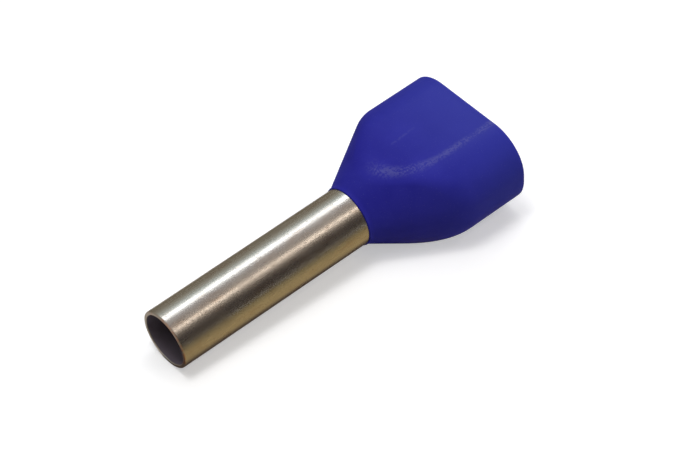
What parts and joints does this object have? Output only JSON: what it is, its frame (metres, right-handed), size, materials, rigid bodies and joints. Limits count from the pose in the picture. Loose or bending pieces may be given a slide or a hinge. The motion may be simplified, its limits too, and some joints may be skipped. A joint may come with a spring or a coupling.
{
  "type": "twin wire ferrule",
  "caption": "Insulated twin wire ferrule: a plated sleeve whose flared oval collar takes a pair of insulated wires and funnels their strands into the sleeve for crimping.",
  "frame": {"origin": "on the sleeve's axis, where the sleeve leaves the collar's front lip", "axes": "+X along the sleeve's axis towards the collar's mouth, +Z square to the collar's broad flats, +Y across its width"},
  "size_m": [0.0204, 0.0086, 0.005],
  "materials": {
    "tinned_copper": "satin tin plating on copper, warm grey, finely drawn along the tube",
    "blue_plastic": "semi-matt moulded polypropylene, deep royal blue, finely grained"
  },
  "bodies": {
    "root": {"sleeve": "tinned_copper", "collar": "blue_plastic"}
  },
  "joints": []
}
